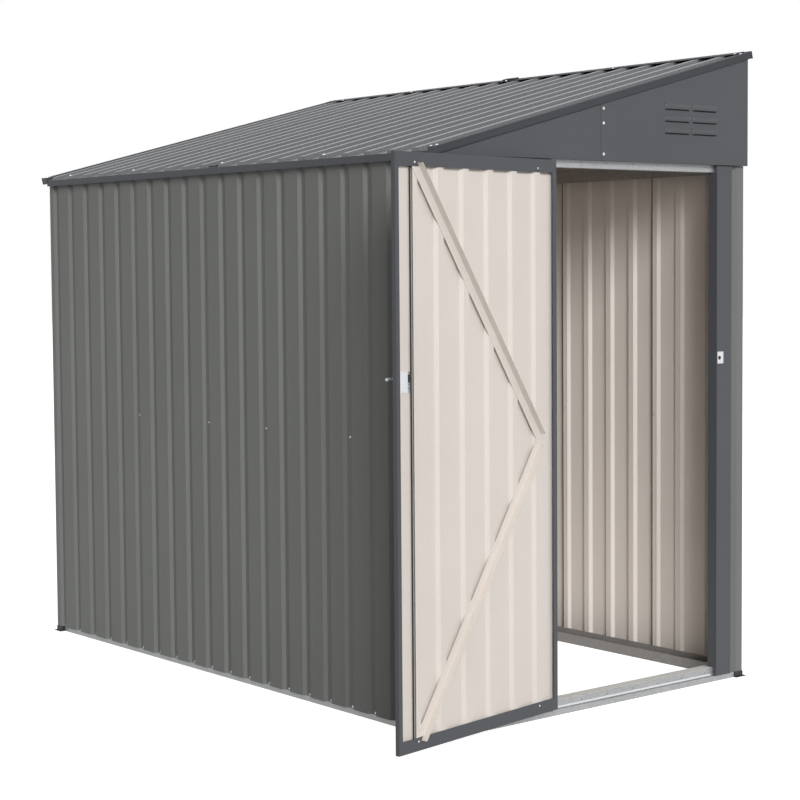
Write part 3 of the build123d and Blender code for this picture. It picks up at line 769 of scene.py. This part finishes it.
def back_seats():
    """Screw seats along the back wall, whose grooves stand on both sides of its middle."""
    places = [RIB_PITCH * (k + 0.5) for k in range(-BACK_HALF_GROOVES, BACK_HALF_GROOVES)]
    laps = (BACK_HALF_GROOVES - 1 - BACK_LAP, BACK_HALF_GROOVES + BACK_LAP)
    return groove_seats(
        places, laps, lambda s, depth, z: (s, HALF_LENGTH - depth, z), (0, 1, 0)
    )


def front_seats():
    """Screw seats beside the doorway: three grooves on the low side and one on the high side."""
    corner = HALF_WIDTH - CORNER_MARGIN
    places = [-corner, RIB_PITCH - corner, 2 * RIB_PITCH - corner, corner]
    return groove_seats(
        places, (), lambda s, depth, z: (s, depth - HALF_LENGTH, z), (0, -1, 0)
    )


class SHED_OT_wall_screws(bpy.types.Operator):
    """Screws the wall sheets to the rails and to each other"""

    bl_idname = "shed.wall_screws"
    bl_label = "Screw walls"

    def execute(self, context):
        lapped_walls = {
            "low": side_seats(-1, LOW_MARGIN),
            "high": side_seats(1, HIGH_MARGIN),
            "back": back_seats(),
        }
        middle = []
        for side, seats in lapped_walls.items():
            screws(context, f"{side}_wall_screws", seats, SHED, WALL_SCREW_SCALE)
            middle += [(p, n) for p, n in seats if p[2] == WALL_SCREW_MIDDLE_Z]
        screw_tips(context, "wall_screw_tips", middle, SHED)
        screws(context, "front_wall_screws", front_seats(), SHED, WALL_SCREW_SCALE)
        return {"FINISHED"}


# Screws and ends of the roof

EAVE_SCREW_X = -622 * MM
EAVE_SCREW_OFFSET = 22 * MM
RIB_SCREW_X = -664 * MM
RIDGE_SCREW_X = 634 * MM
RIDGE_SCREW_OFFSET = -52 * MM
RIDGE_TRIM_TOP = 12.8 * MM
VERGE_SCREWS = ((-650 * MM, 1092 * MM), (-664 * MM, 1083 * MM), (640 * MM, 1092 * MM))
VERGE_TOP = 10 * MM
VERGE_CAP_X = 672.7 * MM
VERGE_CAP_Y = 1094.5 * MM
VERGE_CAP_RISE = -0.5 * MM
VERGE_CAP_SIZE = (1.4 * MM, 32 * MM, 24 * MM)
# Black patches of painted shade in the open joints of the eave and the ridge trims: where across the roof,
# rise over the pans, and size
JOINT_SHADE_PATCHES = (
    (-656 * MM, 3.3 * MM, (24 * MM, 42 * MM, 5 * MM)),
    (655 * MM, 15.3 * MM, (24 * MM, 62 * MM, 5 * MM)),
)


class SHED_OT_roof_screws(bpy.types.Operator):
    """Screws the roof sheets beside their laps, and the ridge and verge trims"""

    bl_idname = "shed.roof_screws"
    bl_label = "Screw roof"

    def execute(self, context):
        points = []
        for k in ROOF_LAPS:
            y = RIB_PITCH * (k + 0.5)
            points.append(on_roof(EAVE_SCREW_X, y + EAVE_SCREW_OFFSET, SHEET))
            points.append(on_roof(RIDGE_SCREW_X, y + RIDGE_SCREW_OFFSET, RIDGE_TRIM_TOP))
        for k in ROOF_LAPS[1:]:
            points.append(on_roof(RIB_SCREW_X, RIB_PITCH * (k - 0.5), RIB_DEPTH + SHEET))
        for x, y in VERGE_SCREWS:
            points += [on_roof(x, side * y, VERGE_TOP) for side in (-1, 1)]
        screws(context, "roof_screws", [(p, ROOF_UP) for p in points], SHED)
        return {"FINISHED"}


class SHED_OT_roof_ends(bpy.types.Operator):
    """Closes the ends of the verge trims and paints the shade in the open joints of the eave and ridge trims
    as black patches
    """

    bl_idname = "shed.roof_ends"
    bl_label = "Close roof trims"

    def execute(self, context):
        caps = [
            strip(on_roof(x, y, VERGE_CAP_RISE), VERGE_CAP_SIZE, ROOF_ALONG, ROOF_UP)
            for x in (-VERGE_CAP_X, VERGE_CAP_X)
            for y in (-VERGE_CAP_Y, VERGE_CAP_Y)
        ]
        trim = bpy.data.materials["dark_coated_trim_steel"]
        scatter("verge_end_caps", block(), caps, [trim], SHED)
        # Black patches paint the shade in the open joints of the eave and ridge trims
        shade_patches = [strip(on_roof(x, 0, rise), size, ROOF_ALONG, ROOF_UP) for x, rise, size in JOINT_SHADE_PATCHES]
        rubber_and_joint_shade = bpy.data.materials["black_moulded_plastic"]
        scatter("trim_joint_pads", block(), shade_patches, [rubber_and_joint_shade], SHED)
        return {"FINISHED"}


# Screws and louvres of the gables

GABLE_SCREW_X = 0.0
GABLE_SCREW_Z = (1680 * MM, 1773 * MM, 1817 * MM)
LOUVRE_RIGHT = 506 * MM
LOUVRE_WIDTH = 109 * MM
LOUVRE_GAP = 18 * MM
LOUVRE_BOTTOM = 1754 * MM
LOUVRE_PITCH = 37 * MM
LOUVRE_COLUMNS = 2
LOUVRE_ROWS = 3
# Dark strips of painted shade in the open mouth of each louvre, and thin strips of bright zinc at their ends
# as painted highlights
MOUTH_SHADE_SIZE = (107 * MM, 0.6 * MM, 4 * MM)
END_HIGHLIGHT_SIZE = (0.5 * MM, 5 * MM, 13 * MM)
END_HIGHLIGHT_PROUD = 2.6 * MM


class SHED_OT_gable_screws(bpy.types.Operator):
    """Screws the lapped halves of both gables"""

    bl_idname = "shed.gable_screws"
    bl_label = "Screw gables"

    def execute(self, context):
        for end, side in zip(ENDS, (-1, 1)):
            seats = [((GABLE_SCREW_X, side * GABLE_FACE, z), (0, side, 0)) for z in GABLE_SCREW_Z]
            screws(context, f"{end}_gable_high_screws", seats, SHED)
        return {"FINISHED"}


class SHED_OT_louvres(bpy.types.Operator):
    """Paints the shade in the open mouth under each of the gables' louvres as a dark strip, and paints
    highlights at their ends as thin strips of bright zinc
    """

    bl_idname = "shed.louvres"
    bl_label = "Open louvres"

    def execute(self, context):
        mouth_shades = []
        end_highlights = []
        for side in (-1, 1):
            for column in range(LOUVRE_COLUMNS):
                right = LOUVRE_RIGHT - column * (LOUVRE_WIDTH + LOUVRE_GAP)
                for row in range(LOUVRE_ROWS):
                    z = LOUVRE_BOTTOM + row * LOUVRE_PITCH
                    # Dark strip of painted shade in the louvre's open mouth
                    middle = (right - 0.5 * LOUVRE_WIDTH, side * GABLE_FACE, z - 0.5 * MOUTH_SHADE_SIZE[2])
                    mouth_shades.append(strip(middle, MOUTH_SHADE_SIZE))
                    # Thin strips of bright zinc at the louvre's ends, as painted highlights
                    y = side * (GABLE_FACE + END_HIGHLIGHT_PROUD)
                    for x in (right - LOUVRE_WIDTH, right):
                        end_highlights.append(strip((x, y, z + 0.5 * END_HIGHLIGHT_SIZE[2]), END_HIGHLIGHT_SIZE))
        shade = shared("punched_hole_shade", hole_shade, context.scene.shed_finish)
        scatter("louvre_mouths", block(), mouth_shades, [shade], SHED)
        zinc = bpy.data.materials["galvanised_steel"]
        scatter("louvre_cut_edges", block(), end_highlights, [zinc], SHED)
        return {"FINISHED"}


# Painted shade of holes, painted highlight and reflection of the sill, and painted shadows of laps

HOLE_PITCH = 112 * MM
HOLE_START_X = -187.5 * MM
HOLE_COUNT = 7
SILL_HOLE_Z = 31 * MM
HEADER_HOLE_Z = 1654 * MM
KEEPER_HOLE_X = 533.5 * MM
KEEPER_HOLE_Z = 1047.5 * MM
# The keeper's disc of painted shade is a little wider than the hole that it covers
KEEPER_HOLE_RADIUS = 6.5 * MM
SILL_LOW_X = -210 * MM
SILL_HIGH_X = 521 * MM
# A pale strip on the sill's top is a painted reflection, and a bright strip along its step a painted
# highlight
TOP_REFLECTION_DEPTH = 39 * MM
TOP_REFLECTION_THICKNESS = 0.4 * MM
STEP_HIGHLIGHT_DEPTH = 2.4 * MM
STEP_HIGHLIGHT_HEIGHT = 6 * MM
STEP_HIGHLIGHT_Z = 23 * MM
# Thin dark strips of painted shadow at the edges of the laps, on the high wall's inside and on the leaf
WALL_LAP_SHADOW_WIDTH = 4 * MM
WALL_LAP_SHADOW_THICKNESS = 0.2 * MM
WALL_LAP_SHADOW_OFFSET = 9 * MM
WALL_LAP_SHADOW_GAP = 0.15 * MM
LEAF_LAP_SHADOW_X = 656.3 * MM
LEAF_LAP_SHADOW_Y = 9.9 * MM
LEAF_LAP_SHADOW_Z = 842 * MM
LEAF_LAP_SHADOW_SIZE = (4 * MM, 0.6 * MM, 1560 * MM)
# The flank that carries the leaf's painted lap shadow, as shares along the leaf and inwards
LEAF_FLANK_SHARES = (-0.669, 0.743)


class SHED_OT_frame_holes(bpy.types.Operator):
    """Paints the shade of the spare holes along the sill and the header, and of the keeper's bolt hole, as
    dark discs
    """

    bl_idname = "shed.frame_holes"
    bl_label = "Punch frame"

    def execute(self, context):
        outward = (0, -1, 0)
        places = [HOLE_START_X + HOLE_PITCH * k for k in range(HOLE_COUNT)]
        for name, z in (("sill_holes", SILL_HOLE_Z), ("header_holes", HEADER_HOLE_Z)):
            holes(context, name, [((x, FRAME_FACE, z), outward) for x in places], SHED)
        bolt = [((KEEPER_HOLE_X, KEEPER_FACE, KEEPER_HOLE_Z), outward)]
        holes(context, "keeper_bolt_hole", bolt, SHED, KEEPER_HOLE_RADIUS)
        return {"FINISHED"}


class SHED_OT_sill(bpy.types.Operator):
    """Paints a reflection along the top of the sill as a pale strip, and a highlight along its front at the
    step as a bright plated strip
    """

    bl_idname = "shed.sill"
    bl_label = "Line sill"

    def execute(self, context):
        finish = context.scene.shed_finish
        middle = 0.5 * (SILL_LOW_X + SILL_HIGH_X)
        span = SILL_HIGH_X - SILL_LOW_X
        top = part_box("front_sill")[1].z
        # Pale strip on the sill's top: painted reflection
        top_reflection = strip(
            (middle, FRAME_FACE + 0.5 * TOP_REFLECTION_DEPTH, top + 0.5 * TOP_REFLECTION_THICKNESS),
            (span, TOP_REFLECTION_DEPTH, TOP_REFLECTION_THICKNESS),
        )
        pale = shared("pale_washer_plastic", washer_plastic, finish)
        scatter("sill_tread_strip", block(), [top_reflection], [pale], SHED)
        # Bright plated strip along the sill's step: painted highlight
        step_highlight = strip((middle, FRAME_FACE - 0.5 * STEP_HIGHLIGHT_DEPTH, STEP_HIGHLIGHT_Z), (span, STEP_HIGHLIGHT_DEPTH, STEP_HIGHLIGHT_HEIGHT))
        plated = shared("zinc_plated_steel", plated_steel, finish)
        scatter("sill_bead", block(), [step_highlight], [plated], SHED)
        return {"FINISHED"}


class SHED_OT_seams(bpy.types.Operator):
    """Paints the shadow at the edge of each lap as a thin dark strip, on the inside of the high wall and on
    the leaf
    """

    bl_idname = "shed.seams"
    bl_label = "Open seams"

    def execute(self, context):
        shade = shared("punched_hole_shade", hole_shade, context.scene.shed_finish)
        low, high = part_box("base_rail_high")[1].z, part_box("top_rail_high")[0].z
        x = HALF_WIDTH - RIB_DEPTH - SHEET - WALL_LAP_SHADOW_GAP
        size = (WALL_LAP_SHADOW_THICKNESS, WALL_LAP_SHADOW_WIDTH, high - low)
        seams = []
        for k in SIDE_LAPS:
            y = HIGH_MARGIN - HALF_LENGTH + RIB_PITCH * k + WALL_LAP_SHADOW_OFFSET
            # Thin dark strip of painted shadow along the lap's edge
            seams.append(strip((x, y, 0.5 * (low + high)), size))
        scatter("wall_lap_seams", block(), seams, [shade], SHED)
        along, inward = LEAF_FLANK_SHARES
        place = on_leaf(LEAF_LAP_SHADOW_X, LEAF_LAP_SHADOW_Y, LEAF_LAP_SHADOW_Z)
        # Thin dark strip of painted shadow along the leaf's lap
        lap_shadow = strip(place, LEAF_LAP_SHADOW_SIZE, LEAF_ALONG * along + LEAF_INWARD * inward)
        scatter("leaf_lap_seam", block(), [lap_shadow], [shade], DOOR)
        return {"FINISHED"}


# Fasteners of the door, in the leaf's own places along, inwards and up

LIP_Y = 15.2 * MM
BRACE_Y = 15.3 * MM
PLATE_Y = 5.2 * MM
RIDGE_TOP_Y = 14 * MM
FIRST_RIDGE = 641 * MM
RIDGE_PITCH = 109.5 * MM
RIDGE_COUNT = 6
RIDGES = [FIRST_RIDGE - RIDGE_PITCH * k for k in range(RIDGE_COUNT)]
LEAF_TOP_Z = 1629 * MM
LEAF_BOTTOM_Z = 54 * MM
APEX_Z = 841 * MM
# Ridges that the braces cross, with the heights of the crossings
BRACE_CROSSINGS = ((2, 1315.6 * MM), (3, 1156.4 * MM), (2, 367 * MM), (3, 526 * MM))
LATCH_SCREW = (686 * MM, PLATE_Y, 1012 * MM)
LATCH_SLOT = (660 * MM, 4.9 * MM, 1048 * MM)
LATCH_SLOT_SIZE = (8 * MM, 0.6 * MM, 22 * MM)
LATCH_HOLES_Z = (1031.5 * MM, 1063.5 * MM)
CORNER_HOLES = ((714.5 * MM, LIP_Y, 1630 * MM), (12 * MM, LIP_Y, 1629.5 * MM))
DOOR_SCREW_SCALE = 0.65


class SHED_OT_door_fasteners(bpy.types.Operator):
    """Screws the braces and the latch plate to the leaf, and paints the shade of the holes in its frame and
    the latch plate as dark discs, and of the latch slot as a dark strip
    """

    bl_idname = "shed.door_fasteners"
    bl_label = "Screw door"

    def execute(self, context):
        places = [(x, LIP_Y, z) for x in (RIDGES[0], RIDGES[-1]) for z in (LEAF_TOP_Z, LEAF_BOTTOM_Z)]
        places.append((RIDGES[-1], BRACE_Y, APEX_Z))
        places += [(RIDGES[k], BRACE_Y, z) for k, z in BRACE_CROSSINGS]
        places += [LATCH_SCREW, (RIDGES[0], RIDGE_TOP_Y, APEX_Z)]
        seats = [(on_leaf(*place), LEAF_INWARD) for place in places]
        screws(context, "door_screws", seats, DOOR, DOOR_SCREW_SCALE)
        marks = [*CORNER_HOLES, *[(LATCH_SLOT[0], PLATE_Y, z) for z in LATCH_HOLES_Z]]
        holes(context, "door_frame_holes", [(on_leaf(*mark), LEAF_INWARD) for mark in marks], DOOR)
        shade = bpy.data.materials["punched_hole_shade"]
        slot = strip(on_leaf(*LATCH_SLOT), LATCH_SLOT_SIZE, LEAF_ALONG)
        scatter("latch_slot_shade", block(), [slot], [shade], DOOR)
        return {"FINISHED"}


# Studio

FLOOR_SIDES = 64
FLOOR_LIFT = 0.93
LAMP_SOFTNESS = math.radians(24)
# Ways that the lamps shine from, under the names that their strengths have
LAMPS = {
    "key": (-0.421, -0.826, 0.375),
    "fill": (0.52, -0.742, 0.42),
    "front": (-0.6, -0.8, 0.05),
    "top": (-0.1, -0.15, 1),
    "back": (0.55, 0.75, 0.37),
}
ROOM_SIZE = (1.0, 1.9)
ROOM_Z = 0.06
ROOM_TINT = (1.0, 0.93, 0.85)
# Side of the photograph's square frame, and the pixel that the camera's axis meets
IMAGE = 800
PRINCIPAL = (368.79, 377.19)


class SHED_OT_studio(bpy.types.Operator):
    """Sets up the floor, the light and the camera"""

    bl_idname = "shed.studio"
    bl_label = "Set up studio"

    def execute(self, context):
        studio = context.scene.shed_studio
        self.floor(context, studio)
        self.world(context, studio.sky_strength)
        for name, source in LAMPS.items():
            lamp = self.sun(context, name, source, getattr(studio, f"{name}_strength"))
            # The back lamp would glare along the roof, so gloss doesn't show it
            lamp.visible_glossy = name != "back"
        self.room_lamp(context, studio.room_power)
        self.camera(context, studio)
        context.scene.view_settings.view_transform = "Standard"
        return {"FINISHED"}

    def seen_directly(self, tree):
        """One for rays that see the background as it is, from the camera, gloss or glass."""
        path = add_node(tree, "ShaderNodeLightPath")
        total = path.outputs["Is Camera Ray"]
        for name in ("Is Glossy Ray", "Is Transmission Ray"):
            total = add_node(
                tree, "ShaderNodeMath", {0: total, 1: path.outputs[name]}, operation="MAXIMUM"
            ).outputs[0]
        return total

    def floor(self, context, studio):
        """Pale matt floor, lifted to white where it is seen directly."""
        mesh = bpy.data.meshes.new("floor")
        mesh.from_pydata(ring(circle(FLOOR_SIDES), studio.floor_radius, 0), [], [list(range(FLOOR_SIDES))])
        material = bpy.data.materials.new("pale_floor")
        material.use_nodes = True
        tree = material.node_tree
        tree.nodes.clear()
        matt = add_node(tree, "ShaderNodeBsdfDiffuse", {"Color": list(studio.floor_coat)})
        lift = add_node(
            tree, "ShaderNodeMath", {0: self.seen_directly(tree), 1: FLOOR_LIFT}, operation="MULTIPLY"
        )
        glow = add_node(tree, "ShaderNodeEmission", {"Strength": lift.outputs[0]})
        both = add_node(tree, "ShaderNodeAddShader", {0: matt.outputs[0], 1: glow.outputs[0]})
        add_node(tree, "ShaderNodeOutputMaterial", {"Surface": both.outputs[0]})
        mesh.materials.append(material)
        floor = bpy.data.objects.new("floor", mesh)
        context.scene.collection.objects.link(floor)

    def world(self, context, strength):
        """Even light from all round, white where it is seen directly."""
        world = bpy.data.worlds.new("studio")
        context.scene.world = world
        world.use_nodes = True
        tree = world.node_tree
        tree.nodes.clear()
        glow = add_node(
            tree,
            "ShaderNodeMapRange",
            {"Value": self.seen_directly(tree), "To Min": strength, "To Max": 1.0},
        )
        sky = add_node(
            tree, "ShaderNodeBackground", {"Color": (1, 1, 1, 1), "Strength": glow.outputs[0]}
        )
        add_node(tree, "ShaderNodeOutputWorld", {"Surface": sky.outputs[0]})

    def sun(self, context, name, source, strength):
        """Broad soft lamp that shines from one way."""
        data = bpy.data.lights.new(name, "SUN")
        data.energy = strength
        data.angle = LAMP_SOFTNESS
        lamp = bpy.data.objects.new(name, data)
        lamp.rotation_euler = Vector(source).to_track_quat("Z", "Y").to_euler()
        context.scene.collection.objects.link(lamp)
        return lamp

    def room_lamp(self, context, power):
        """Soft warm light thrown up inside the room, as a pale floor would, and never seen itself."""
        data = bpy.data.lights.new("room", "AREA")
        data.shape = "RECTANGLE"
        data.size, data.size_y = ROOM_SIZE
        data.energy = power
        data.color = ROOM_TINT
        lamp = bpy.data.objects.new("room", data)
        lamp.location.z = ROOM_Z
        lamp.rotation_euler.x = math.pi
        lamp.visible_camera = False
        context.scene.collection.objects.link(lamp)

    def camera(self, context, studio):
        """Camera at the photograph's place and angle."""
        yaw, pitch, roll = studio.camera_turn
        forward = Vector(
            (
                math.sin(yaw) * math.cos(pitch),
                math.cos(yaw) * math.cos(pitch),
                -math.sin(pitch),
            )
        )
        right = Vector((math.cos(yaw), -math.sin(yaw), 0))
        up = right.cross(forward)
        upright = Matrix((right, up, -forward)).transposed().to_4x4()
        data = bpy.data.cameras.new("camera")
        data.lens = studio.lens
        data.shift_x = (IMAGE / 2 - PRINCIPAL[0]) / IMAGE
        data.shift_y = (PRINCIPAL[1] - IMAGE / 2) / IMAGE
        camera = bpy.data.objects.new("camera", data)
        camera.matrix_world = (
            Matrix.Translation(Vector(studio.camera_place)) @ upright @ Matrix.Rotation(roll, 4, "Z")
        )
        context.scene.collection.objects.link(camera)
        context.scene.camera = camera


class SHED_PT_panel(bpy.types.Panel):
    """Lists the shed's steps and their properties"""

    bl_idname = "SHED_PT_panel"
    bl_label = "Lean-to shed"
    bl_space_type = "VIEW_3D"
    bl_region_type = "UI"
    bl_category = "Shed"

    def draw(self, context):
        for step in STEPS:
            self.layout.operator(step.bl_idname)
        for name in GROUPS:
            group = getattr(context.scene, name)
            for key in group.__annotations__:
                self.layout.prop(group, key)


GROUPS = {
    "shed_finish": ShedFinish,
    "shed_fasteners": ShedFasteners,
    "shed_studio": ShedStudio,
}
STEPS = (
    SHED_OT_walls,
    SHED_OT_roof,
    SHED_OT_trims,
    SHED_OT_frame,
    SHED_OT_door,
    SHED_OT_wall_screws,
    SHED_OT_roof_screws,
    SHED_OT_roof_ends,
    SHED_OT_gable_screws,
    SHED_OT_louvres,
    SHED_OT_frame_holes,
    SHED_OT_sill,
    SHED_OT_seams,
    SHED_OT_door_fasteners,
    SHED_OT_studio,
)


def register():
    """Registers the property groups, the steps and the panel."""
    for group in GROUPS.values():
        bpy.utils.register_class(group)
    for step in STEPS:
        bpy.utils.register_class(step)
    bpy.utils.register_class(SHED_PT_panel)
    for name, group in GROUPS.items():
        setattr(bpy.types.Scene, name, bpy.props.PointerProperty(type=group))


def unregister():
    """Undoes register, in reverse."""
    for name in GROUPS:
        delattr(bpy.types.Scene, name)
    bpy.utils.unregister_class(SHED_PT_panel)
    for step in reversed(STEPS):
        bpy.utils.unregister_class(step)
    for group in reversed(GROUPS.values()):
        bpy.utils.unregister_class(group)


def main():
    """Dresses the shed step by step."""
    register()
    bpy.ops.shed.walls()
    bpy.ops.shed.roof()
    bpy.ops.shed.trims()
    bpy.ops.shed.frame()
    bpy.ops.shed.door()
    bpy.ops.shed.wall_screws()
    bpy.ops.shed.roof_screws()
    bpy.ops.shed.roof_ends()
    bpy.ops.shed.gable_screws()
    bpy.ops.shed.louvres()
    bpy.ops.shed.frame_holes()
    bpy.ops.shed.sill()
    bpy.ops.shed.seams()
    bpy.ops.shed.door_fasteners()
    bpy.ops.shed.studio()


if __name__ == "__main__":
    main()
